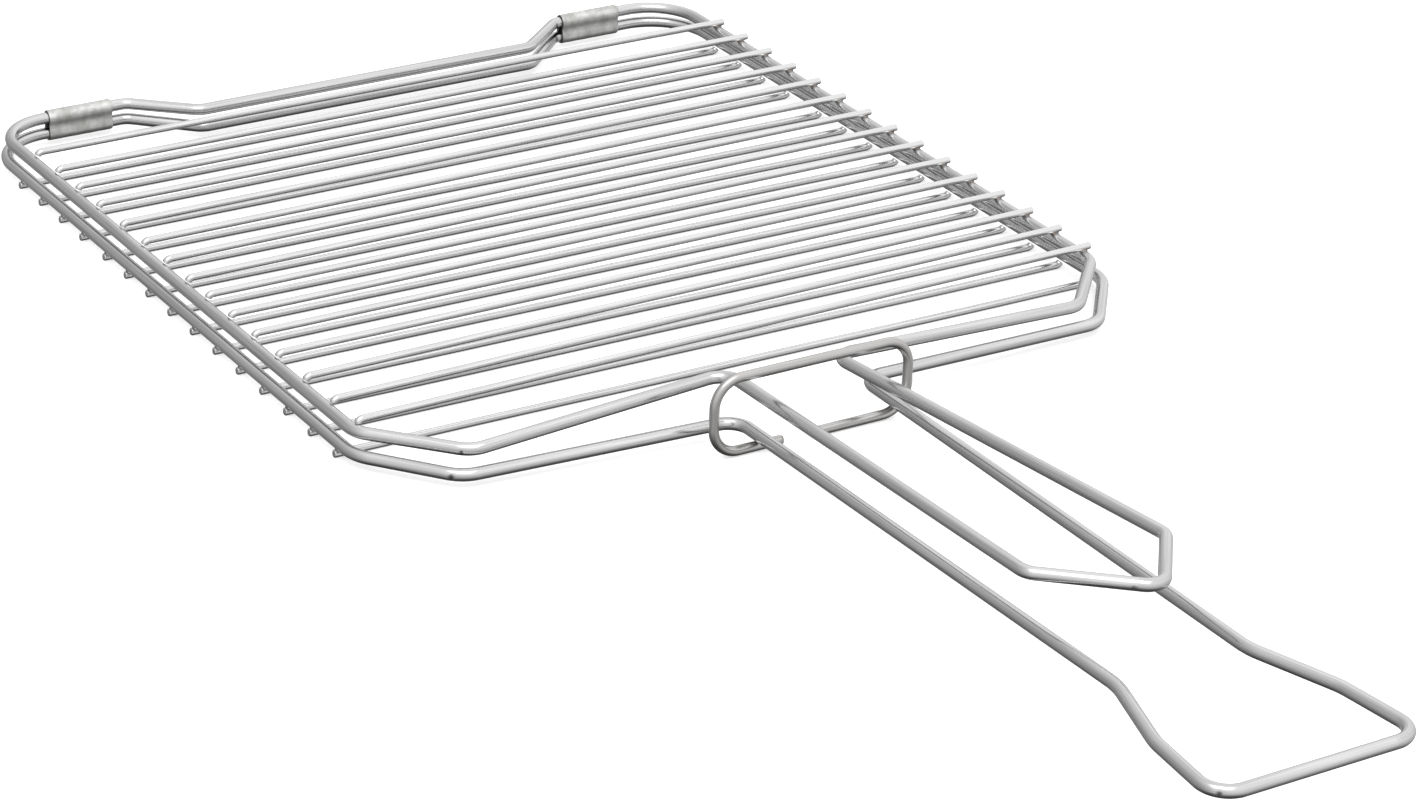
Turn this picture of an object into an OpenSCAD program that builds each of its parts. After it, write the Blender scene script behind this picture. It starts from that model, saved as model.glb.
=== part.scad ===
// Hinged wire grill basket with a long looped handle, in millimetres.
// The basket lies closed on its lower bars: Z = 0 is the plane under those bars.
// X runs across the basket, the handle points to -Y and the hinge is at +Y.
// The X and Y zero is the middle of the whole outline.

/* [Wire] */
// diameter of the wire of both frames
frame_d = 5.0; // [3:0.1:6]
// diameter of the thin cross wires
bar_d = 3.0; // [1.5:0.1:4]
// diameter of the wire of the sliding ring
ring_d = 3.8; // [2:0.1:5]
// how far the resistance welds sink one wire into the other
weld_sink = 0.25; // [0.1:0.05:0.6]

/* [Basket] */
// half width of the lower frame, to the centre of its wire
lower_half_w = 170; // [120:0.5:220]
// half width of the upper frame, to the centre of its wire
upper_half_w = 167; // [118:0.5:218]
// height of the upper frame's wire above the lower frame's wire
frame_gap = 6.8; // [5:0.1:30]
// spacing of the cross wires
bar_pitch = 20; // [12:0.5:40]
// distance from the last cross wire to the hinge line
hinge_behind = 41; // [20:0.5:60]
// how far the right ends of the upper cross wires stand out past the frame's centre line
upper_bar_out = 3.4; // [2.4:0.1:10]
// how far the left ends of the lower cross wires stand out past the frame's centre line
lower_bar_out = 2.7; // [2.4:0.1:10]
// how far short of the frame's centre line the other ends stop
bar_short = 0.5; // [0:0.1:0.8]
// how far forward the right ends of the lower cross wires sit
lower_bar_skew = 4.3; // [0:0.1:6]
// how far forward the left end of upper cross wire 1 sits
upper_bar_skew_1 = 4.5; // [0:0.1:6]
// how far forward the left end of upper cross wire 2 sits
upper_bar_skew_2 = 5; // [0:0.1:6]
// how far forward the left end of upper cross wire 3 sits
upper_bar_skew_3 = 3; // [0:0.1:6]
// how far forward the left ends of upper cross wires 8 to 11 sit
upper_bar_skew_mid = 2.4; // [0:0.1:6]
// how far back the last four lower cross wires sit
lower_bar_back = 2.2; // [0:0.1:6]
// how far forward the right ends of the last four lower cross wires sit
lower_bar_back_skew = 0.4; // [0:0.1:6]

/* [Corners] */
// length of the front corner cut along the side
cut_y = 33.5; // [15:0.5:60]
// length of the lower frame's front corner cut along the front
lower_cut_x = 27; // [10:0.5:60]
// length of the upper frame's front corner cut along the front
upper_cut_x = 30.5; // [10:0.5:60]
// distance from the front cross wire to the start of the lower corner cut
lower_cut_start = 11; // [8:0.5:40]
// distance from the front cross wire to the start of the upper corner cut
upper_cut_start = 6; // [5:0.5:40]
// bend radius of the rear corners of the lower frame
rear_r = 26; // [15:0.5:50]
// depth of the recess in the middle of the lower frame's rear edge
lower_recess = 23.5; // [8:0.5:40]
// depth of the recess in the middle of the upper frame's rear edge
upper_recess = 21; // [8:0.5:40]
// half length of the recessed stretch
recess_half = 81; // [30:0.5:120]
// how far the slanted step out of the recess runs across
step_run = 25; // [8:0.5:40]

/* [Lower handle] */
// distance from the middle to the left wire's root
lower_root_left = 31.5; // [20:0.5:45]
// distance from the middle to the right wire's root
lower_root_right = 28.5; // [20:0.5:45]
// how far the front edge comes forward at the left root
lower_forward_left = 10; // [0:0.5:20]
// how far the front edge comes forward at the right root
lower_forward_right = 3.5; // [0:0.5:20]
// height of the left wire's root above the lower frame
lower_lift_left = 1.5; // [1.4:0.1:6]
// height of the right wire's root above the lower frame
lower_lift_right = 3; // [1.4:0.1:6]
// height of the neck and the grip above the lower frame
grip_lift = 3; // [1.4:0.1:6]
// half width of the lower handle at its neck
neck_half = 27.5; // [18:0.5:32]
// distance from the front cross wire to the neck
neck_y = 288; // [280:1:400]
// half width where the grip's flare ends
flare_half = 39; // [30:0.5:60]
// distance from the front cross wire to the end of the flare
flare_y = 324; // [310:1:440]
// half width of the grip's crossbar
grip_half = 43; // [30:0.5:60]
// distance from the front cross wire to the crossbar
grip_y = 362; // [345:1:500]
// bend radius of the grip's two corners
grip_r = 10; // [6:0.5:20]

/* [Upper handle] */
// distance from the middle to the left wire's root
upper_root_left = 28.5; // [15:0.5:35]
// distance from the middle to the right wire's root
upper_root_right = 19; // [15:0.5:35]
// how far the front edge comes forward at the handle
upper_forward = 2; // [0:0.5:15]
// height of the left wire's root above the upper frame
upper_rise_left = 8.2; // [2:0.1:14]
// height of the right wire's root above the upper frame
upper_rise_right = 5.2; // [2:0.1:14]
// height of the handle's end above the upper frame
upper_end_rise = 15.4; // [8:0.1:15.4]
// half width of the upper handle at its end
upper_end_half = 30; // [15:0.5:30]
// distance from the front cross wire to the end of the straight wires
upper_end_y = 236; // [150:1:240]
// distance from the front cross wire to the tip of the pointed end
tip_y = 267; // [170:1:268]
// how far the tip sits to the right of the middle
tip_x = 6; // [-6:0.5:6]

/* [Sliding ring] */
// width of the ring, to the centre of its wire
ring_w = 86; // [84:0.5:120]
// height of the ring, to the centre of its wire
ring_h = 30.2; // [30:0.1:50]
// bend radius of the ring's corners
ring_r = 11; // [6:0.5:12]
// width of the open gap in the ring's lower side
ring_gap = 13; // [2:0.5:30]
// how far the gap sits to the left of the ring's middle
ring_gap_left = 6; // [-10:0.5:10]
// how far the ring sits to the left of the middle
ring_left = 7.5; // [0:0.5:7.5]
// distance from the front cross wire to the ring
ring_y = 68; // [66:0.5:120]
// clearance between the ring and the lower handle's wires
ring_clear = 0.3; // [0.3:0.05:1]

/* [Hinge clips] */
// length of a clip
clip_l = 29; // [15:0.5:29]
// distance from the middle to the centre of the left clip
clip_left = 128; // [123.5:0.5:129]
// distance from the middle to the centre of the right clip
clip_right = 123.5; // [123.5:0.5:129]
// thickness of the sheet
clip_t = 0.8; // [0.5:0.1:1.2]
// running clearance between a clip and the wires
clip_clear = 0.06; // [0.03:0.01:0.1]

/* [Hidden] */
$fn = 48;
trim = 0.2;
bead = 1.02;
bar_count = 15;
frame_r = frame_d / 2;
bar_r = bar_d / 2;
hinge_y = (bar_count - 1) * bar_pitch + hinge_behind;
clip_ro = frame_r + clip_clear + clip_t;
shift_y = (grip_y + frame_r - (hinge_y + clip_ro)) / 2;
lower_z = bar_d + frame_r - weld_sink;
upper_z = lower_z + frame_gap;
lower_bar_z = bar_r;
upper_bar_z = upper_z + frame_r + bar_r - weld_sink;
grip_z = lower_z + grip_lift;
ring_z = lower_z + lower_lift_left - frame_r - ring_clear - ring_d / 2 + ring_h / 2;
straight_end = recess_half + step_run;
upper_bar_skew = [
  upper_bar_skew_1, upper_bar_skew_2, upper_bar_skew_3, 0, 0, 0, 0,
  upper_bar_skew_mid, upper_bar_skew_mid, upper_bar_skew_mid, upper_bar_skew_mid, 0, 0, 0, 0
];
steel = [0.78, 0.79, 0.80];
grey = [0.60, 0.61, 0.62];

// vector helpers
function unit(v) = v / norm(v);
function mirror_x(p) = [-p[0], p[1], p[2], p[3]];
function flip(list) = [for (i = [len(list) - 1:-1:0]) mirror_x(list[i])];
function at(p) = [p[0], p[1], p[2]];

// a bend's turn, and how far along each straight it starts
function turn(a, b, c) = acos(max(-1, min(1, unit(b - a) * unit(c - b))));
function setback(a, b, c) = b[3] * tan(turn(at(a), at(b), at(c)) / 2);

// straight length of wire between two points, stopping short inside the beads at its ends
module rod(a, b, r, s0 = trim, s1 = trim) {
  w = unit(b - a);
  s = abs(w[2]) < 0.9 ? [0, 0, 1] : [1, 0, 0];
  u = unit(cross(s, w));
  v = cross(w, u);
  o = a + w * s0;
  multmatrix([
    [u[0], v[0], w[0], o[0]],
    [u[1], v[1], w[1], o[1]],
    [u[2], v[2], w[2], o[2]],
    [0, 0, 0, 1]
  ])
    cylinder(h = norm(b - a) - s0 - s1, r = r);
}

// bend at b, on the way from a to c, with a bead of metal where it meets each straight
module bend(a, b, c, rb, r) {
  d1 = unit(b - a);
  d2 = unit(c - b);
  ang = acos(max(-1, min(1, d1 * d2)));
  back = rb * tan(ang / 2);
  cut = trim / rb * 180 / PI;
  n = unit(cross(d1, d2));
  start = b - d1 * back;
  inward = unit(cross(n, d1));
  centre = start + inward * rb;
  u = -inward * cos(cut) + d1 * sin(cut);
  v = cross(n, u);
  multmatrix([
    [u[0], v[0], n[0], centre[0]],
    [u[1], v[1], n[1], centre[1]],
    [u[2], v[2], n[2], centre[2]],
    [0, 0, 0, 1]
  ])
    rotate_extrude(angle = ang - 2 * cut, $fn = 96)
      translate([rb, 0])
        circle(r = r, $fn = 32);
  collar(start, d1, r);
  collar(b + d2 * back, d2, r);
}

// short collar of metal that joins a bend to a straight
module collar(p, w, r) {
  rod(p - w * 2 * trim, p + w * 2 * trim, r * bead, 0, 0);
}

// closed loop of wire through points [x, y, z, bend radius]
module loop(path, r) {
  n = len(path);
  for (i = [0:n - 1]) {
    a = path[(i + n - 1) % n];
    b = path[i];
    c = path[(i + 1) % n];
    d = path[(i + 2) % n];
    w = unit(at(c) - at(b));
    bend(at(a), at(b), at(c), b[3], r);
    rod(at(b) + w * setback(a, b, c), at(c) - w * setback(b, c, d), r);
  }
}

// open wire through the same kind of points
module strand(path, r) {
  n = len(path);
  for (i = [1:n - 2])
    bend(at(path[i - 1]), at(path[i]), at(path[i + 1]), path[i][3], r);
  for (i = [0:n - 2]) {
    b = path[i];
    c = path[i + 1];
    w = unit(at(c) - at(b));
    s0 = i == 0 ? 0 : setback(path[i - 1], b, c);
    s1 = i == n - 2 ? 0 : setback(b, c, path[i + 2]);
    rod(at(b) + w * s0, at(c) - w * s1, r, i == 0 ? 0 : trim, i == n - 2 ? 0 : trim);
  }
}

// right half of the rear edge, from the side to the middle
function rear(half_w, r, z, recess) = [
  [half_w, hinge_y, z, r],
  [straight_end, hinge_y, z, 8],
  [recess_half, hinge_y - recess, z, 8]
];

// one side of the lower frame, from the grip to the rear, for the root at (root, forward, lift)
lower_front_y = -lower_cut_start - cut_y;
function lower_side(root, forward, lift) = concat(
  [
    [grip_half, -grip_y, grip_z, grip_r],
    [flare_half, -flare_y, grip_z, 30],
    [neck_half, -neck_y, grip_z, 30],
    [root, lower_front_y - forward, lower_z + lift, 9],
    [lower_half_w - lower_cut_x, lower_front_y, lower_z, 14],
    [lower_half_w, -lower_cut_start, lower_z, 18]
  ],
  rear(lower_half_w, rear_r, lower_z, lower_recess)
);
lower_path = concat(
  lower_side(lower_root_right, lower_forward_right, lower_lift_right),
  flip(lower_side(lower_root_left, lower_forward_left, lower_lift_left))
);

// one side of the upper frame, from the end of its handle to the rear
upper_front_y = -upper_cut_start - cut_y;
upper_end_z = upper_z + upper_end_rise;
function upper_side(root, rise) = concat(
  [
    [upper_end_half, -upper_end_y, upper_end_z, 8],
    [root, upper_front_y - upper_forward, upper_z + rise, 9],
    [upper_half_w - upper_cut_x, upper_front_y, upper_z, 12],
    [upper_half_w, -upper_cut_start, upper_z, 12]
  ],
  rear(upper_half_w, rear_r - (lower_half_w - upper_half_w), upper_z, upper_recess)
);
upper_path = concat(
  [[tip_x, -tip_y, upper_end_z, 7]],
  upper_side(upper_root_right, upper_rise_right),
  flip(upper_side(upper_root_left, upper_rise_left))
);

module lower_frame() {
  color(steel)
    translate([0, shift_y, 0])
      loop(lower_path, frame_r);
}

module upper_frame() {
  color(steel)
    translate([0, shift_y, 0])
      loop(upper_path, frame_r);
}

// one cross wire of the lower half
module lower_bar(i) {
  last = i > bar_count - 5;
  back = last ? lower_bar_back : 0;
  skew = last ? lower_bar_back_skew : lower_bar_skew;
  left = [-lower_half_w - lower_bar_out, back, 0];
  right = [lower_half_w - bar_short, back - skew, 0];
  color(steel)
    translate([0, shift_y + i * bar_pitch, lower_bar_z])
      rod(left, right, bar_r, 0, 0);
}

// one cross wire of the upper half
module upper_bar(i) {
  left = [-upper_half_w + bar_short, -upper_bar_skew[i], 0];
  right = [upper_half_w + upper_bar_out, 0, 0];
  color(steel)
    translate([0, shift_y + i * bar_pitch, upper_bar_z])
      rod(left, right, bar_r, 0, 0);
}

// sheet metal sleeve folded round both rear wires
module clip(cx) {
  color(grey)
    translate([cx - clip_l / 2, shift_y + hinge_y, lower_z])
      rotate([90, 0, 90]) {
        rotate([0, 0, 180])
          rotate_extrude(angle = 180)
            translate([clip_ro - clip_t, 0])
              square([clip_t, clip_l]);
        translate([0, frame_gap, 0])
          rotate_extrude(angle = 180)
            translate([clip_ro - clip_t, 0])
              square([clip_t, clip_l]);
        for (s = [-clip_ro, clip_ro - clip_t])
          translate([s, 0, 0])
            cube([clip_t, frame_gap, clip_l]);
      }
}

module hinge_clip_left() {
  clip(-clip_left);
}

module hinge_clip_right() {
  clip(clip_right);
}

module slider_ring() {
  hw = ring_w / 2;
  hh = ring_h / 2;
  color(grey)
    translate([-ring_left, shift_y - ring_y, ring_z])
      strand([
        [-ring_gap_left + ring_gap / 2, 0, -hh, 0],
        [hw, 0, -hh, ring_r],
        [hw, 0, hh, ring_r],
        [-hw, 0, hh, ring_r],
        [-hw, 0, -hh, ring_r],
        [-ring_gap_left - ring_gap / 2, 0, -hh, 0]
      ], ring_d / 2);
}

module lower_bar_01() {
  lower_bar(0);
}

module lower_bar_02() {
  lower_bar(1);
}

module lower_bar_03() {
  lower_bar(2);
}

module lower_bar_04() {
  lower_bar(3);
}

module lower_bar_05() {
  lower_bar(4);
}

module lower_bar_06() {
  lower_bar(5);
}

module lower_bar_07() {
  lower_bar(6);
}

module lower_bar_08() {
  lower_bar(7);
}

module lower_bar_09() {
  lower_bar(8);
}

module lower_bar_10() {
  lower_bar(9);
}

module lower_bar_11() {
  lower_bar(10);
}

module lower_bar_12() {
  lower_bar(11);
}

module lower_bar_13() {
  lower_bar(12);
}

module lower_bar_14() {
  lower_bar(13);
}

module lower_bar_15() {
  lower_bar(14);
}

module upper_bar_01() {
  upper_bar(0);
}

module upper_bar_02() {
  upper_bar(1);
}

module upper_bar_03() {
  upper_bar(2);
}

module upper_bar_04() {
  upper_bar(3);
}

module upper_bar_05() {
  upper_bar(4);
}

module upper_bar_06() {
  upper_bar(5);
}

module upper_bar_07() {
  upper_bar(6);
}

module upper_bar_08() {
  upper_bar(7);
}

module upper_bar_09() {
  upper_bar(8);
}

module upper_bar_10() {
  upper_bar(9);
}

module upper_bar_11() {
  upper_bar(10);
}

module upper_bar_12() {
  upper_bar(11);
}

module upper_bar_13() {
  upper_bar(12);
}

module upper_bar_14() {
  upper_bar(13);
}

module upper_bar_15() {
  upper_bar(14);
}

// which node to draw

lower_frame();
upper_frame();
hinge_clip_left();
hinge_clip_right();
slider_ring();
lower_bar_01();
lower_bar_02();
lower_bar_03();
lower_bar_04();
lower_bar_05();
lower_bar_06();
lower_bar_07();
lower_bar_08();
lower_bar_09();
lower_bar_10();
lower_bar_11();
lower_bar_12();
lower_bar_13();
lower_bar_14();
lower_bar_15();
upper_bar_01();
upper_bar_02();
upper_bar_03();
upper_bar_04();
upper_bar_05();
upper_bar_06();
upper_bar_07();
upper_bar_08();
upper_bar_09();
upper_bar_10();
upper_bar_11();
upper_bar_12();
upper_bar_13();
upper_bar_14();
upper_bar_15();
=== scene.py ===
"""Looks of the hinged wire grill basket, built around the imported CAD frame. Lengths are in metres."""

import math
import random

import bmesh
import bpy
import numpy as np
from mathutils import Matrix, Vector


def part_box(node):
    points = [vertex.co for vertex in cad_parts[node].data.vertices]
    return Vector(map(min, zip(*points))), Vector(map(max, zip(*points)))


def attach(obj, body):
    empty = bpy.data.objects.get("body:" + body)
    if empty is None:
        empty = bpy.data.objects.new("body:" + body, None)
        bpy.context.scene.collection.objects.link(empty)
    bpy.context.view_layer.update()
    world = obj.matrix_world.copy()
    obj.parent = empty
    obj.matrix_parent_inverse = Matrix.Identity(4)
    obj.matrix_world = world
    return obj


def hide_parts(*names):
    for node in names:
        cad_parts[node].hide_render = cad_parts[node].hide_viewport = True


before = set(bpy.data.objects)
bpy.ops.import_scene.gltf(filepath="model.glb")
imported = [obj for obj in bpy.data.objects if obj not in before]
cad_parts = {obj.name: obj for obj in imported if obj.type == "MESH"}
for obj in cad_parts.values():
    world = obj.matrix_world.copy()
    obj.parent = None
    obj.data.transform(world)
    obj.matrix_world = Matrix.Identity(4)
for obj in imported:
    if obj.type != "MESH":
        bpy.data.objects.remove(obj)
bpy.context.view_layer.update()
MM = 0.001
dice = random.Random(11)

# ---------------------------------------------------------------- places read from the frame

BAR_COUNT = 15


def middle(node):
    """Centre of a CAD node's box."""
    low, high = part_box(node)
    return (Vector(low) + Vector(high)) / 2


def half(node):
    """Half the size of a CAD node's box."""
    low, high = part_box(node)
    return (Vector(high) - Vector(low)) / 2


FRAME_R = 2.5 * MM
BAR_R = half("lower_bar_01").z
RING_R = half("slider_ring").y
FRONT_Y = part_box("lower_bar_01")[1][1] - BAR_R
PITCH = middle("lower_bar_02").y - middle("lower_bar_01").y
LOWER_X = half("lower_frame").x - FRAME_R
UPPER_X = half("upper_frame").x - FRAME_R
LOWER_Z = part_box("lower_frame")[0][2] + FRAME_R
UPPER_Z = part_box("upper_frame")[0][2] + FRAME_R
HINGE_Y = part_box("lower_frame")[1][1] - FRAME_R
CROSSBAR_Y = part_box("lower_frame")[0][1] + FRAME_R

# ---------------------------------------------------------------- wire geometry

SWEEP_STEP = 1.6 * MM
ARC_STEP_DEGREES = 4
END_LENGTH = 0.3 * MM  # how much of a sheared end is rounded off
END_ROUNDING = 0.16  # by what part of the radius


def arc_points(before, corner, after, radius):
    """Points of the round bend that replaces a corner."""
    along_in = (corner - before).normalized()
    along_out = (after - corner).normalized()
    turn = along_in.angle(along_out)
    back = radius * math.tan(turn / 2)
    start = corner - along_in * back
    axis = along_in.cross(along_out).normalized()
    inward = axis.cross(along_in)
    centre = start + inward * radius
    steps = max(4, math.ceil(math.degrees(turn) / ARC_STEP_DEGREES))
    return [
        centre + Matrix.Rotation(turn * i / steps, 3, axis) @ (start - centre)
        for i in range(steps + 1)
    ]


def wire_line(corners, closed, step=SWEEP_STEP):
    """Centre line of a bent wire through (x, y, z, bend radius) corners, cut into short steps."""
    count = len(corners)
    points = []
    for i, (x, y, z, radius) in enumerate(corners):
        here = Vector((x, y, z))
        if not closed and i in (0, count - 1):
            points.append(here)
            continue
        before = Vector(corners[i - 1][:3])
        after = Vector(corners[(i + 1) % count][:3])
        points.extend(arc_points(before, here, after, radius))
    if closed:
        points.append(points[0].copy())
    line = [points[0]]
    for a, b in zip(points, points[1:]):
        cuts = max(1, round((b - a).length / step))
        line.extend(a.lerp(b, k / cuts) for k in range(1, cuts + 1))
    if closed:
        line.pop()
    return line


def smooth_noise(length, scale, size, draw):
    """A smooth random value along a wire: random knots every scale metres, joined by cosine steps."""
    knots = [draw.uniform(-size, size) for _ in range(int(max(length) / scale) + 3)]
    at = np.asarray(length) / scale
    i = at.astype(int)
    t = (1 - np.cos((at - i) * math.pi)) / 2
    knots = np.array(knots)
    return knots[i] * (1 - t) + knots[i + 1] * t


def sweep(
    name, line, radius, closed=False, sides=24, reference=(0, 0, 1), sheared=0.0, marks=(), heat=()
):
    """Round wire along a centre line.

    Its point attributes are 'unbent', the place on the straight wire before it was bent, a tint
    attribute, how strongly weld heat tint and painted shade darken it, and 'mark', how near a tool mark
    is. A mark is (place, reach, depth) and a tinted place is (place, reach, strength). sheared is how far
    the two cut ends lean.
    """
    centre = np.array([tuple(p) for p in line])
    count = len(centre)
    if closed:
        tangent = np.roll(centre, -1, 0) - np.roll(centre, 1, 0)
        gaps = np.linalg.norm(np.roll(centre, -1, 0) - centre, axis=1)
    else:
        tangent = np.gradient(centre, axis=0)
        gaps = np.linalg.norm(np.diff(centre, axis=0), axis=1)
    tangent /= np.linalg.norm(tangent, axis=1)[:, None]
    length = np.concatenate([[0], np.cumsum(gaps)])[:count]
    across = np.cross(tangent, np.array(reference, float))
    across /= np.linalg.norm(across, axis=1)[:, None]
    upward = np.cross(across, tangent)
    angle = np.arange(sides) * 2 * math.pi / sides
    radii = np.full(count, radius)
    if sheared:
        end = np.minimum(length, length[-1] - length)
        radii = radius * (1 - END_ROUNDING * np.clip(1 - end / END_LENGTH, 0, 1) ** 2)
    sideways, rising = np.cos(angle)[None, :, None], np.sin(angle)[None, :, None]
    out = sideways * across[:, None, :] + rising * upward[:, None, :]
    verts = centre[:, None, :] + out * radii[:, None, None]
    if sheared:
        lean = np.sin(angle) * radius * sheared
        verts[0] += tangent[0] * lean[:, None]
        verts[-1] += tangent[-1] * lean[:, None]
    unbent = np.stack(
        [
            np.broadcast_to(np.cos(angle) * radius, (count, sides)),
            np.broadcast_to(np.sin(angle) * radius, (count, sides)),
            np.broadcast_to(length[:, None], (count, sides)),
        ],
        axis=2,
    )
    mark = np.zeros((count, sides))
    for place, reach, depth in marks:
        near = np.exp(-((np.linalg.norm(verts - np.array(place), axis=2) / reach) ** 2))
        mark = np.maximum(mark, near)
        verts = verts - out * (near * depth)[:, :, None]
    # How strongly weld heat tint and painted shade darken each point
    heat_and_shade_level = np.zeros((count, sides))
    for place, reach, strength in heat:
        near = strength * np.exp(-((np.linalg.norm(verts - np.array(place), axis=2) / reach) ** 2))
        heat_and_shade_level = np.maximum(heat_and_shade_level, near)
    verts = verts.reshape(-1, 3)
    faces = []
    for i in range(count if closed else count - 1):
        a = i * sides
        b = ((i + 1) % count) * sides
        faces.extend((a + k, a + (k + 1) % sides, b + (k + 1) % sides, b + k) for k in range(sides))
    if not closed:
        faces.append(tuple(range(sides - 1, -1, -1)))
        faces.append(tuple(range((count - 1) * sides, count * sides)))
    piece = make_piece(name, verts, faces)
    put_attribute(piece, "unbent", "FLOAT_VECTOR", unbent.reshape(-1, 3))
    put_attribute(piece, "heat", "FLOAT", heat_and_shade_level.reshape(-1))
    put_attribute(piece, "mark", "FLOAT", mark.reshape(-1))
    return piece


def make_piece(name, verts, faces):
    """A smooth-shaded mesh object in the scene."""
    mesh = bpy.data.meshes.new(name)
    mesh.from_pydata([tuple(v) for v in verts], [], faces)
    mesh.validate()
    mesh.shade_smooth()
    piece = bpy.data.objects.new(name, mesh)
    bpy.context.scene.collection.objects.link(piece)
    return piece


def put_attribute(piece, name, kind, values):
    """Writes a point attribute that the materials read."""
    layer = piece.data.attributes.new(name, kind, "POINT")
    field = "vector" if kind == "FLOAT_VECTOR" else "value"
    layer.data.foreach_set(field, np.asarray(values, dtype=np.float32).ravel())


def turn_outward(piece):
    """Makes every face look outward."""
    shape = bmesh.new()
    shape.from_mesh(piece.data)
    bmesh.ops.recalc_face_normals(shape, faces=shape.faces)
    shape.to_mesh(piece.data)
    shape.free()


# ---------------------------------------------------------------- materials


# Sockets of the colour mix node, which has one set of them for each kind of data
MIX_INPUTS = (0, 6, 7)
MIX_RESULT = 2


def set_stops(node, stops):
    """Fills a colour ramp node with (position, colour) stops."""
    elements = node.color_ramp.elements
    while len(elements) < len(stops):
        elements.new(0.5)
    for element, (position, colour) in zip(elements, stops):
        element.position = position
        element.color = (*colour, 1.0)


class Nodes:
    """Short calls for building one material."""

    def __init__(self, name):
        self.material = bpy.data.materials.new(name)
        self.material.use_nodes = True
        self.tree = self.material.node_tree
        self.shader = self.tree.nodes["Principled BSDF"]

    def add(self, kind, **settings):
        node = self.tree.nodes.new(kind)
        for key, value in settings.items():
            setattr(node, key, value)
        return node

    def link(self, output, socket):
        self.tree.links.new(output, socket)

    def attribute(self, name, output):
        return self.add("ShaderNodeAttribute", attribute_name=name).outputs[output]

    def place(self):
        return self.add("ShaderNodeTexCoord").outputs["Object"]

    def stretched(self, vector, scale):
        node = self.add("ShaderNodeVectorMath", operation="MULTIPLY")
        self.link(vector, node.inputs[0])
        node.inputs[1].default_value = scale
        return node.outputs["Vector"]

    def noise(self, vector, scale, detail=3.0, roughness=0.55):
        node = self.add("ShaderNodeTexNoise")
        self.link(vector, node.inputs["Vector"])
        node.inputs["Scale"].default_value = scale
        node.inputs["Detail"].default_value = detail
        node.inputs["Roughness"].default_value = roughness
        return node.outputs["Fac"]

    def spread(self, value, low, high, to_low=0.0, to_high=1.0):
        node = self.add("ShaderNodeMapRange")
        self.link(value, node.inputs["Value"])
        node.inputs["From Min"].default_value = low
        node.inputs["From Max"].default_value = high
        node.inputs["To Min"].default_value = to_low
        node.inputs["To Max"].default_value = to_high
        return node.outputs["Result"]

    def combine(self, a, b, operation="ADD"):
        node = self.add("ShaderNodeMath", operation=operation)
        for socket, value in zip(node.inputs, (a, b)):
            if isinstance(value, (int, float)):
                socket.default_value = value
            else:
                self.link(value, socket)
        return node.outputs["Value"]

    def mix(self, factor, a, b):
        node = self.add("ShaderNodeMix", data_type="RGBA")
        for index, value in zip(MIX_INPUTS, (factor, a, b)):
            socket = node.inputs[index]
            if isinstance(value, (int, float)):
                socket.default_value = value
            elif isinstance(value, tuple):
                socket.default_value = (*value, 1.0)
            else:
                self.link(value, socket)
        return node.outputs[MIX_RESULT]

    def ramp(self, value, stops):
        node = self.add("ShaderNodeValToRGB")
        self.link(value, node.inputs["Fac"])
        set_stops(node, stops)
        return node.outputs["Color"]

    def bump(self, height, strength, distance):
        node = self.add("ShaderNodeBump")
        node.inputs["Strength"].default_value = strength
        node.inputs["Distance"].default_value = distance
        self.link(height, node.inputs["Height"])
        self.link(node.outputs["Normal"], self.shader.inputs["Normal"])


# Dark tint ramp: heat tint near the welds, and painted shade along the frames' right side wires
SCORCH_AND_SHADE = [(0.35, (0.24, 0.22, 0.21)), (0.7, (0.17, 0.13, 0.11)), (1.0, (0.10, 0.09, 0.09))]
MARK_COLOUR = (0.05, 0.05, 0.05)


def drawn_wire(name, bright, dull, rough, fine):
    """Drawn stainless wire: lines along it, dull patches, a grey to dark brown tint near the welds, and
    the same dark tint as painted shade along the frames' right side wires.
    """
    n = Nodes(name)
    n.shader.inputs["Metallic"].default_value = 1.0
    unbent = n.attribute("unbent", "Vector")
    lines = n.noise(n.stretched(unbent, (fine, fine, fine * 0.012)), 1.0, 4.0, 0.6)
    wide_lines = n.noise(n.stretched(unbent, (fine * 0.3, fine * 0.3, fine * 0.006)), 1.0, 2.0)
    patches = n.noise(n.place(), 45.0, 3.0)
    steel = n.mix(n.spread(wide_lines, 0.3, 0.7), dull, bright)
    steel = n.mix(n.spread(lines, 0.62, 0.8, 0.0, 0.5), steel, tuple(c * 0.55 for c in dull))
    # Weld heat tint and, along the right side wires, painted shade darken the steel
    heat = n.attribute("heat", "Fac")
    edge = n.combine(heat, n.combine(n.noise(n.place(), 900.0), -0.5))
    heat_and_shade_level = n.spread(edge, 0.1, 0.75)
    tint = n.ramp(heat, [(0.0, bright), *SCORCH_AND_SHADE])
    colour = n.mix(heat_and_shade_level, steel, tint)
    mark = n.attribute("mark", "Fac")
    colour = n.mix(n.spread(mark, 0.35, 0.8, 0.0, 0.85), colour, MARK_COLOUR)
    n.link(colour, n.shader.inputs["Base Color"])
    patchy = n.spread(patches, 0.3, 0.7, rough * 0.8, rough * 1.25)
    roughness = n.combine(patchy, n.spread(lines, 0.4, 0.8, 0.0, 0.12))
    roughness = n.combine(roughness, n.spread(heat, 0.2, 1.0, 0.0, 0.3))
    n.link(roughness, n.shader.inputs["Roughness"])
    n.bump(lines, 0.35, 0.03 * MM)
    return n.material


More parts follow.
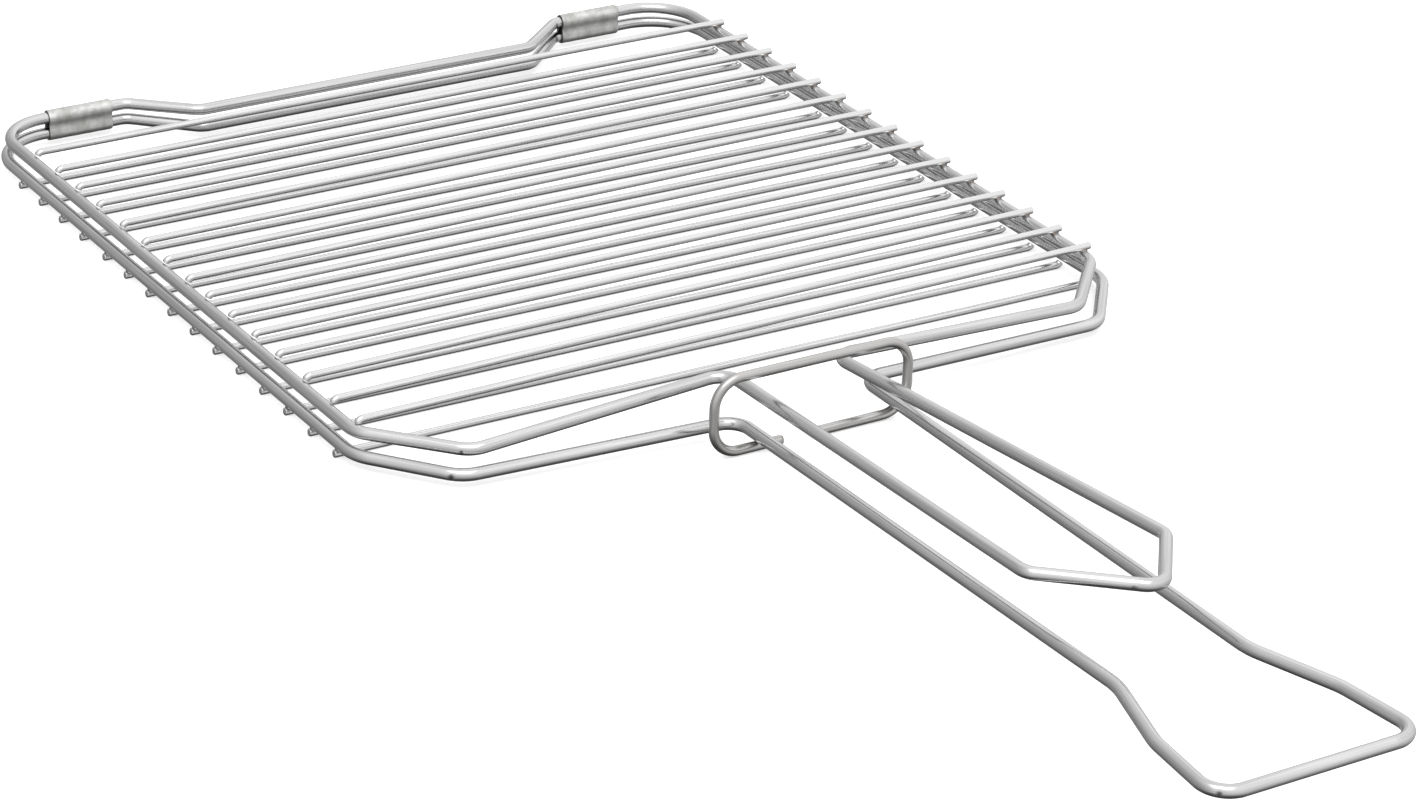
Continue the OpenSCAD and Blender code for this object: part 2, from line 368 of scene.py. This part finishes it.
def weld_metal(name):
    """Squeezed-out weld metal: dark, grainy, brown at the rim."""
    n = Nodes(name)
    n.shader.inputs["Metallic"].default_value = 1.0
    grain = n.noise(n.place(), 1800.0, 4.0, 0.7)
    blotch = n.noise(n.place(), 350.0, 2.0)
    colour = n.ramp(
        n.combine(n.combine(grain, 0.5, "MULTIPLY"), n.combine(blotch, 0.5, "MULTIPLY")),
        [(0.3, (0.10, 0.085, 0.075)), (0.5, (0.26, 0.23, 0.21)), (0.68, (0.46, 0.44, 0.42))],
    )
    n.link(colour, n.shader.inputs["Base Color"])
    n.link(n.spread(grain, 0.3, 0.75, 0.32, 0.6), n.shader.inputs["Roughness"])
    n.bump(grain, 0.6, 0.12 * MM)
    return n.material


def rolled_sheet(name):
    """Matt rolled sheet: fine lines along the roll, soft stains, darker sheared edges."""
    n = Nodes(name)
    n.shader.inputs["Metallic"].default_value = 1.0
    lines = n.noise(n.stretched(n.place(), (60.0, 2600.0, 2600.0)), 1.0, 3.0)
    stains = n.noise(n.place(), 160.0, 4.0, 0.6)
    specks = n.noise(n.place(), 1500.0, 2.0)
    colour = n.mix(n.spread(stains, 0.38, 0.62), (0.80, 0.80, 0.79), (0.52, 0.525, 0.50))
    colour = n.mix(n.spread(lines, 0.45, 0.75, 0.0, 0.4), colour, (0.52, 0.52, 0.51))
    colour = n.mix(n.spread(specks, 0.68, 0.78, 0.0, 0.5), colour, (0.16, 0.15, 0.14))
    colour = n.mix(n.attribute("mark", "Fac"), colour, (0.14, 0.14, 0.14))
    n.link(colour, n.shader.inputs["Base Color"])
    roughness = n.combine(n.spread(stains, 0.3, 0.7, 0.34, 0.5), n.spread(lines, 0.3, 0.7, -0.03, 0.06))
    n.link(roughness, n.shader.inputs["Roughness"])
    n.bump(n.combine(lines, n.combine(stains, 0.6, "MULTIPLY")), 0.3, 0.05 * MM)
    return n.material


FRAME_STEEL = drawn_wire("frame_steel", (0.74, 0.74, 0.742), (0.56, 0.56, 0.562), 0.17, 2600.0)
CROSS_STEEL = drawn_wire("cross_steel", (0.84, 0.84, 0.84), (0.68, 0.68, 0.683), 0.18, 3600.0)
RING_STEEL = drawn_wire("ring_steel", (0.62, 0.61, 0.60), (0.46, 0.45, 0.44), 0.22, 3000.0)
WELD = weld_metal("weld_metal")
SHEET = rolled_sheet("clip_sheet_metal")

# ---------------------------------------------------------------- the bends' dimensions, as in the CAD

LOWER_CUT_X, UPPER_CUT_X = 27 * MM, 30.5 * MM
CUT_Y = 33.5 * MM
LOWER_CUT_START, UPPER_CUT_START = 11 * MM, 6 * MM
REAR_BEND = 26 * MM
LOWER_RECESS, UPPER_RECESS = 23.5 * MM, 21 * MM
RECESS_HALF, STEP_RUN, STEP_BEND = 81 * MM, 25 * MM, 8 * MM
LOWER_CUT_BEND, LOWER_FRONT_BEND, UPPER_CUT_BEND, ROOT_BEND = 14 * MM, 18 * MM, 12 * MM, 9 * MM
GRIP_Z = LOWER_Z + 3 * MM
GRIP_HALF, GRIP_BEND = 43 * MM, 10 * MM
HANDLE_BEND = 30 * MM
HANDLE_WIDE, HANDLE_WIDE_Y = 39 * MM, FRONT_Y - 324 * MM
HANDLE_SLIM, HANDLE_SLIM_Y = 27.5 * MM, FRONT_Y - 288 * MM
UPPER_END_Z = UPPER_Z + 15.4 * MM
UPPER_END_HALF, UPPER_END_Y, UPPER_END_BEND = 30 * MM, FRONT_Y - 236 * MM, 8 * MM
TIP_X, TIP_Y, TIP_BEND = 6 * MM, FRONT_Y - 267 * MM, 7 * MM


def rear(half_width, bend, z, recess):
    """Right half of the rear edge, from the side to the middle."""
    return [
        (half_width, HINGE_Y, z, bend),
        (RECESS_HALF + STEP_RUN, HINGE_Y, z, STEP_BEND),
        (RECESS_HALF, HINGE_Y - recess, z, STEP_BEND),
    ]


def mirrored(side):
    """The same corners on the other side of the middle, in the opposite order."""
    return [(-x, y, z, bend) for x, y, z, bend in reversed(side)]


def lower_side(root, forward, lift):
    """One side of the lower frame, from the grip's corner to the rear edge."""
    front = FRONT_Y - LOWER_CUT_START - CUT_Y
    return [
        (GRIP_HALF, CROSSBAR_Y, GRIP_Z, GRIP_BEND),
        (HANDLE_WIDE, HANDLE_WIDE_Y, GRIP_Z, HANDLE_BEND),
        (HANDLE_SLIM, HANDLE_SLIM_Y, GRIP_Z, HANDLE_BEND),
        (root, front - forward, LOWER_Z + lift, ROOT_BEND),
        (LOWER_X - LOWER_CUT_X, front, LOWER_Z, LOWER_CUT_BEND),
        (LOWER_X, FRONT_Y - LOWER_CUT_START, LOWER_Z, LOWER_FRONT_BEND),
        *rear(LOWER_X, REAR_BEND, LOWER_Z, LOWER_RECESS),
    ]


def upper_side(root, rise):
    """One side of the upper frame, from the end of its handle to the rear edge."""
    front = FRONT_Y - UPPER_CUT_START - CUT_Y
    return [
        (UPPER_END_HALF, UPPER_END_Y, UPPER_END_Z, UPPER_END_BEND),
        (root, front - 2 * MM, UPPER_Z + rise, ROOT_BEND),
        (UPPER_X - UPPER_CUT_X, front, UPPER_Z, UPPER_CUT_BEND),
        (UPPER_X, FRONT_Y - UPPER_CUT_START, UPPER_Z, UPPER_CUT_BEND),
        *rear(UPPER_X, REAR_BEND - (LOWER_X - UPPER_X), UPPER_Z, UPPER_RECESS),
    ]


# The handles' roots differ a little from side to side
LOWER_CORNERS = (
    lower_side(28.5 * MM, 3.5 * MM, 3 * MM)
    + mirrored(lower_side(31.5 * MM, 10 * MM, 1.5 * MM))
)
UPPER_CORNERS = (
    [(TIP_X, TIP_Y, UPPER_END_Z, TIP_BEND)]
    + upper_side(19 * MM, 5.2 * MM)
    + mirrored(upper_side(28.5 * MM, 8.2 * MM))
)

# ---------------------------------------------------------------- frames


def bar_ends(level, number):
    """Middle of a cross wire's two ends. Lower ones slant forward to the right, upper ones to the left."""
    low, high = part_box(f"{level}_bar_{number:02d}")
    z = (low[2] + high[2]) / 2
    near, far = low[1] + BAR_R, high[1] - BAR_R
    ys = (far, near) if level == "lower" else (near, far)
    return Vector((low[0], ys[0], z)), Vector((high[0], ys[1], z))


def crossings(level, half_width, height):
    """Where the cross wires of one half run over its side wire: on the left below, on the right above."""
    side = -1 if level == "lower" else 1
    places = []
    for number in range(1, BAR_COUNT + 1):
        left, right = bar_ends(level, number)
        x = side * half_width
        y = left.y + (right.y - left.y) * (x - left.x) / (right.x - left.x)
        places.append(Vector((x, y, height)))
    return places


LOWER_BAR_Z = middle("lower_bar_01").z
UPPER_BAR_Z = middle("upper_bar_01").z
lower_welds_at = crossings("lower", LOWER_X, (LOWER_BAR_Z + BAR_R + LOWER_Z - FRAME_R) / 2)
upper_welds_at = crossings("upper", UPPER_X, (UPPER_BAR_Z - BAR_R + UPPER_Z + FRAME_R) / 2)


def weld_heat(places):
    """Tint round each weld, a little different each time."""
    return [(tuple(p), dice.uniform(1.3, 2.1) * MM, dice.uniform(0.15, 0.5)) for p in places]


def scorch_and_shade_side(half_width, height):
    """Painted shade, with some brown heat tint, all along the right side wire of a frame."""
    return [
        ((half_width, FRONT_Y + i * PITCH / 2, height), 9.0 * MM, dice.uniform(0.28, 0.42))
        for i in range(-1, 2 * BAR_COUNT)
    ]


# Butt welds that close the two loops, on their left sides, as (place, reach, strength)
LOWER_BUTT = ((-LOWER_X, FRONT_Y + 108 * MM, LOWER_Z), 4.0 * MM, 0.6)
UPPER_BUTT = ((-UPPER_X, FRONT_Y + 98 * MM, UPPER_Z), 3.0 * MM, 0.8)

# Dents of the bending tool, as (place, reach, depth)
LOWER_MARKS = [
    ((-147.0 * MM, FRONT_Y - 42.9 * MM, LOWER_Z - 0.1 * MM), 1.5 * MM, 0.3 * MM),
    ((-41.2 * MM, CROSSBAR_Y + 1.0 * MM, GRIP_Z + 0.1 * MM), 1.4 * MM, 0.3 * MM),
]
UPPER_MARKS = [
    ((-140.4 * MM, FRONT_Y - 38.4 * MM, UPPER_Z - 0.4 * MM), 1.2 * MM, 0.2 * MM),
    ((28.5 * MM, FRONT_Y - 237 * MM, UPPER_END_Z + 0.8 * MM), 1.2 * MM, 0.2 * MM),
    ((-2.8 * MM, FRONT_Y - 262 * MM, UPPER_END_Z - 0.2 * MM), 1.3 * MM, 0.2 * MM),
]

# Each frame's right side wire is darkened all along by painted shade, with some heat tint
lower_frame_wire = sweep(
    "lower_frame_wire",
    wire_line(LOWER_CORNERS, True),
    FRAME_R,
    closed=True,
    heat=weld_heat(lower_welds_at) + scorch_and_shade_side(LOWER_X, LOWER_Z) + [LOWER_BUTT],
    marks=LOWER_MARKS,
)
upper_frame_wire = sweep(
    "upper_frame_wire",
    wire_line(UPPER_CORNERS, True),
    FRAME_R,
    closed=True,
    heat=weld_heat(upper_welds_at) + scorch_and_shade_side(UPPER_X, UPPER_Z) + [UPPER_BUTT],
    marks=UPPER_MARKS,
)

# ---------------------------------------------------------------- cross wires

HOOK_BEND = 2.6 * MM  # bend radius of a hook's centre line
HOOK_REACH = 2.4 * MM  # how far the hook goes past first touch with the frame's flank
WAVE, SWAY = 70 * MM, 0.2 * MM  # a wire's slight bow: length and depth
FLUSH_END = 0.15 * MM
STRAIGHT_END, FADE = 6 * MM, 30 * MM  # the bow starts past the weld and comes in gradually


def cross_wire(name, level, number):
    """A cross wire: a sheared end past one side wire, and a small hook at the other one's inner flank.

    Between the ends it has the slight bow of real wire.
    """
    left, right = bar_ends(level, number)
    flank, start, side = (1, left, LOWER_X) if level == "lower" else (-1, right, UPPER_X)
    end = right if level == "lower" else left
    along = (end - start).normalized()
    reach = side - FRAME_R - BAR_R + HOOK_REACH
    tip = start + along * ((flank * reach - start.x) / along.x)
    lift = Vector((0, 0, flank))
    total = (tip - start).length - HOOK_BEND
    inner = np.linspace(FLUSH_END + 0.3 * MM, total, 110)
    steps = np.concatenate([[FLUSH_END, FLUSH_END + 0.1 * MM, FLUSH_END + 0.2 * MM], inner])
    sway = smooth_noise(steps, WAVE, SWAY, dice)
    fade = np.clip((np.minimum(steps, total - steps) - STRAIGHT_END) / FADE, 0, 1)
    line = [start + along * t + Vector((0, w * f, 0)) for t, w, f in zip(steps, sway, fade)]
    centre = start + along * total + lift * HOOK_BEND
    for degrees in range(6, 61, 6):
        turn = math.radians(degrees)
        forward, down = HOOK_BEND * math.sin(turn), HOOK_BEND * math.cos(turn)
        line.append(centre + along * forward - lift * down)
    places = [Vector((s * side, end.y if s == flank else start.y, start.z)) for s in (-1, 1)]
    return sweep(name, line, BAR_R, sides=20, sheared=0.08, heat=weld_heat(places))


def lens(place, reach_x, reach_y, reach_z, rings=10, sides=20):
    """Vertices and faces of a flattened bead with a slightly uneven rim."""
    verts = [(place.x, place.y, place.z - reach_z)]
    swell = [dice.uniform(0.9, 1.08) for _ in range(sides)]
    swell = [(swell[k - 1] + 2 * swell[k] + swell[(k + 1) % sides]) / 4 for k in range(sides)]
    for i in range(1, rings):
        tilt = math.pi * i / rings - math.pi / 2
        for k in range(sides):
            turn = 2 * math.pi * k / sides
            flat = math.cos(tilt) * swell[k]
            verts.append(
                (
                    place.x + reach_x * flat * math.cos(turn),
                    place.y + reach_y * flat * math.sin(turn),
                    place.z + reach_z * math.sin(tilt),
                )
            )
    verts.append((place.x, place.y, place.z + reach_z))
    faces = [(0, 1 + (k + 1) % sides, 1 + k) for k in range(sides)]
    for i in range(rings - 2):
        a = 1 + i * sides
        b = a + sides
        faces.extend((a + k, a + (k + 1) % sides, b + (k + 1) % sides, b + k) for k in range(sides))
    top = len(verts) - 1
    a = 1 + (rings - 2) * sides
    faces.extend((a + k, a + (k + 1) % sides, top) for k in range(sides))
    return verts, faces


def weld_beads(name, places):
    """The flash of metal squeezed out of every weld of one half."""
    verts, faces = [], []
    for place in places:
        part, part_faces = lens(
            place, dice.uniform(1.9, 2.2) * MM, dice.uniform(1.75, 2.05) * MM, dice.uniform(0.8, 0.95) * MM
        )
        faces.extend(tuple(v + len(verts) for v in face) for face in part_faces)
        verts.extend(part)
    piece = make_piece(name, verts, faces)
    piece.data.materials.append(WELD)
    return piece


lower_beads = weld_beads("lower_weld_beads", lower_welds_at)
upper_beads = weld_beads("upper_weld_beads", upper_welds_at)

pieces = [
    (lower_frame_wire, "lower_half", "lower_frame", "frame_wire", FRAME_STEEL),
    (upper_frame_wire, "upper_half", "upper_frame", "frame_wire", FRAME_STEEL),
]
for i in range(1, BAR_COUNT + 1):
    for level in ("lower", "upper"):
        node = f"{level}_bar_{i:02d}"
        wire = cross_wire(f"{level}_cross_wire_{i:02d}", level, i)
        pieces.append((wire, f"{level}_half", node, "cross_wire", CROSS_STEEL))

# ---------------------------------------------------------------- sliding ring

RING_MID = middle("slider_ring")
RING_HW = half("slider_ring").x - RING_R
RING_HH = half("slider_ring").z - RING_R
RING_BEND = 11 * MM
RING_GAP, RING_GAP_LEFT = 13 * MM, 6 * MM
RING_STEP = 1.2 * MM
RING_SCORCH = ((RING_MID.x + 24 * MM, RING_MID.y, RING_MID.z - RING_HH), 13 * MM, 0.55)


def ring_corner(x, z, bend):
    """A corner of the ring, measured from its middle."""
    return (RING_MID.x + x, RING_MID.y, RING_MID.z + z, bend)


ring_line = wire_line(
    [
        ring_corner(-RING_GAP_LEFT + RING_GAP / 2, -RING_HH, 0),
        ring_corner(RING_HW, -RING_HH, RING_BEND),
        ring_corner(RING_HW, RING_HH, RING_BEND),
        ring_corner(-RING_HW, RING_HH, RING_BEND),
        ring_corner(-RING_HW, -RING_HH, RING_BEND),
        ring_corner(-RING_GAP_LEFT - RING_GAP / 2, -RING_HH, 0),
    ],
    False,
    step=RING_STEP,
)
sliding_ring = sweep(
    "sliding_ring_wire",
    ring_line,
    RING_R,
    sides=28,
    reference=(0, 1, 0),
    sheared=0.1,
    heat=[RING_SCORCH],
)
pieces.append((sliding_ring, "slider", "slider_ring", "ring_wire", RING_STEEL))

# ---------------------------------------------------------------- hinge clips

SHEET_T = 0.8 * MM
PINCH = 0.22
LIP = 0.12 * MM
RIPPLE, RIPPLE_RATE = 0.02 * MM, 900
SEAM_AT = (0.8, -0.6)  # where on the loop's lower end the sheet's edges meet
SEAM_EASE = 0.10 * MM


def clip_sleeve(name, node):
    """Sheet folded round both rear wires: an open, slightly pinched loop with a seam along one side."""
    low, high = (Vector(v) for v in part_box(node))
    mid = (low + high) / 2
    outer = (high.y - low.y) / 2
    gap = (high.z - low.z) / 2 - outer
    inner = outer - SHEET_T
    contour = []
    for end in (1, -1):
        for k in range(25):
            turn = math.pi * k / 24 + (0 if end > 0 else math.pi)
            contour.append((math.cos(turn), math.sin(turn), end * gap))
        side = -1 if end > 0 else 1
        for k in range(1, 8):
            t = k / 8
            width = side * (1 - PINCH * math.sin(math.pi * t) ** 2)
            contour.append((width, 0.0, end * gap * (1 - 2 * t)))
    slit = contour.index(min(contour, key=lambda c: abs(c[0] - SEAM_AT[0]) + abs(c[1] - SEAM_AT[1])))
    contour = contour[slit + 1 :] + contour[:slit]
    xs = [low.x, low.x + 0.15 * MM]
    xs += list(np.linspace(low.x + 0.5 * MM, high.x - 0.5 * MM, 40))
    xs += [high.x - 0.15 * MM, high.x]
    verts, marks = [], []
    count = len(contour)
    for x in xs:
        edge = min(x - low.x, high.x - x)
        lip = LIP * max(0.0, 1 - edge / (0.5 * MM)) ** 2
        ripple = RIPPLE * math.sin((x - low.x) * RIPPLE_RATE)
        for shell, shrink in ((outer - lip - 0.02 * MM, 1), (inner + lip, 0)):
            for k, (cy, cz, centre_z) in enumerate(contour):
                seam = min(k, count - 1 - k)
                ease = SEAM_EASE * max(0.0, 1 - seam / 3) * (1 if shrink else -1)
                radius = shell - ease - (ripple if shrink else 0) * abs(cz)
                verts.append((x, mid.y + cy * radius, mid.z + centre_z + cz * radius))
                marks.append(0.75 if edge < 0.1 * MM or seam == 0 else 0.0)
    faces = []
    row = 2 * count
    for i in range(len(xs) - 1):
        a, b = i * row, (i + 1) * row
        for k in range(count - 1):
            faces.append((a + k, b + k, b + k + 1, a + k + 1))
            faces.append((a + count + k + 1, b + count + k + 1, b + count + k, a + count + k))
        faces.append((a + count, b + count, b, a))
        faces.append((a + count - 1, b + count - 1, b + row - 1, a + row - 1))
    for a, flip in ((0, False), ((len(xs) - 1) * row, True)):
        for k in range(count - 1):
            face = (a + k, a + k + 1, a + count + k + 1, a + count + k)
            faces.append(tuple(reversed(face)) if flip else face)
    piece = make_piece(name, verts, faces)
    put_attribute(piece, "mark", "FLOAT", marks)
    turn_outward(piece)
    return piece


for side in ("left", "right"):
    node = f"hinge_clip_{side}"
    sleeve = clip_sleeve(f"{side}_clip_sleeve", node)
    pieces.append((sleeve, "hinge_clips", node, "clip_sheet", SHEET))

for piece, body, node, slot, material in pieces:
    piece.data.materials.append(material)
    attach(piece, body)
    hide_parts(node)
for piece, body in ((lower_beads, "lower_half"), (upper_beads, "upper_half")):
    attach(piece, body)

# ---------------------------------------------------------------- floor, light and camera

FLOOR_HALF = 30.0
FLOOR_GLOW = 0.45
DOME_STOPS = [(0.05, 0.06), (0.16, 0.22), (0.28, 0.48), (0.45, 0.70), (0.62, 0.88), (0.85, 1.0)]
DOME_DIM_SIDE = (-0.62, 0.78, 0.0)
DOME_DIM_FROM, DOME_DIM_TO, DOME_DIM_LEFT = 0.15, 0.85, 0.5
DOME_STRENGTH = 1.12
CAMERA_DEGREES = (-32.71, 25.79, 2.19)  # azimuth, elevation and roll
CAMERA_DISTANCE, CAMERA_LENS, CAMERA_SENSOR = 1.696, 113.95, 36.0
CAMERA_TARGET = Vector((-0.0300, -0.0120, 0.00525))


def floor():
    """Plain pale floor under the basket."""
    verts = [(x * FLOOR_HALF, y * FLOOR_HALF, 0) for x, y in ((-1, -1), (1, -1), (1, 1), (-1, 1))]
    ground = make_piece("studio_floor", verts, [(0, 1, 2, 3)])
    n = Nodes("pale_floor")
    n.shader.inputs["Roughness"].default_value = 0.9
    n.shader.inputs["Specular IOR Level"].default_value = 0.0
    colour = n.mix(n.noise(n.place(), 3.0), (0.95, 0.95, 0.948), (0.965, 0.965, 0.962))
    n.link(colour, n.shader.inputs["Base Color"])
    n.shader.inputs["Emission Color"].default_value = (1.0, 1.0, 1.0, 1.0)
    n.shader.inputs["Emission Strength"].default_value = FLOOR_GLOW
    ground.data.materials.append(n.material)
    ground.visible_glossy = False


def studio_dome():
    """Soft light from all round, dark straight below and greyer towards the back on the left."""
    world = bpy.data.worlds.new("studio_dome")
    bpy.context.scene.world = world
    world.use_nodes = True
    tree = world.node_tree
    direction = tree.nodes.new("ShaderNodeTexCoord").outputs["Generated"]
    split = tree.nodes.new("ShaderNodeSeparateXYZ")
    tree.links.new(direction, split.inputs["Vector"])
    height = tree.nodes.new("ShaderNodeMapRange")
    height.inputs["From Min"].default_value = -1.0
    height.inputs["From Max"].default_value = 1.0
    tree.links.new(split.outputs["Z"], height.inputs["Value"])
    ramp = tree.nodes.new("ShaderNodeValToRGB")
    set_stops(ramp, [(position, (value,) * 3) for position, value in DOME_STOPS])
    tree.links.new(height.outputs["Result"], ramp.inputs["Fac"])
    aside = tree.nodes.new("ShaderNodeVectorMath")
    aside.operation = "DOT_PRODUCT"
    aside.inputs[1].default_value = DOME_DIM_SIDE
    tree.links.new(direction, aside.inputs[0])
    shade = tree.nodes.new("ShaderNodeMapRange")
    shade.inputs["From Min"].default_value = DOME_DIM_FROM
    shade.inputs["From Max"].default_value = DOME_DIM_TO
    shade.inputs["To Min"].default_value = 1.0
    shade.inputs["To Max"].default_value = DOME_DIM_LEFT
    tree.links.new(aside.outputs["Value"], shade.inputs["Value"])
    shaded = tree.nodes.new("ShaderNodeVectorMath")
    shaded.operation = "SCALE"
    tree.links.new(ramp.outputs["Color"], shaded.inputs[0])
    tree.links.new(shade.outputs["Result"], shaded.inputs["Scale"])
    tree.links.new(shaded.outputs["Vector"], tree.nodes["Background"].inputs["Color"])
    tree.nodes["Background"].inputs["Strength"].default_value = DOME_STRENGTH


def softbox(name, place, target, size, power):
    """Square area light turned towards a point."""
    light = bpy.data.lights.new(name, "AREA")
    light.shape = "RECTANGLE"
    light.size, light.size_y = size
    light.energy = power
    lamp = bpy.data.objects.new(name, light)
    lamp.location = place
    lamp.rotation_euler = (Vector(target) - Vector(place)).to_track_quat("-Z", "Y").to_euler()
    bpy.context.scene.collection.objects.link(lamp)


def camera():
    """Camera in front, to the left and above."""
    azimuth, elevation, roll = (math.radians(a) for a in CAMERA_DEGREES)
    level = math.cos(elevation)
    back = Vector((math.sin(azimuth) * level, -math.cos(azimuth) * level, math.sin(elevation)))
    right = (-back).cross(Vector((0, 0, 1))).normalized()
    up = right.cross(-back)
    tilted_right = right * math.cos(roll) + up * math.sin(roll)
    tilted_up = up * math.cos(roll) - right * math.sin(roll)
    view = bpy.data.cameras.new("view")
    view.lens = CAMERA_LENS
    view.sensor_width = CAMERA_SENSOR
    view.clip_start = 0.01
    eye = bpy.data.objects.new("camera", view)
    axes = Matrix((tilted_right, tilted_up, back)).transposed().to_4x4()
    eye.matrix_world = Matrix.Translation(CAMERA_TARGET + back * CAMERA_DISTANCE) @ axes
    bpy.context.scene.collection.objects.link(eye)
    bpy.context.scene.camera = eye


floor()
studio_dome()
softbox("top_softbox", place=(-0.5, -0.7, 1.7), target=(0, 0, 0), size=(1.4, 1.4), power=9.0)
camera()
bpy.context.scene.view_settings.view_transform = "Standard"
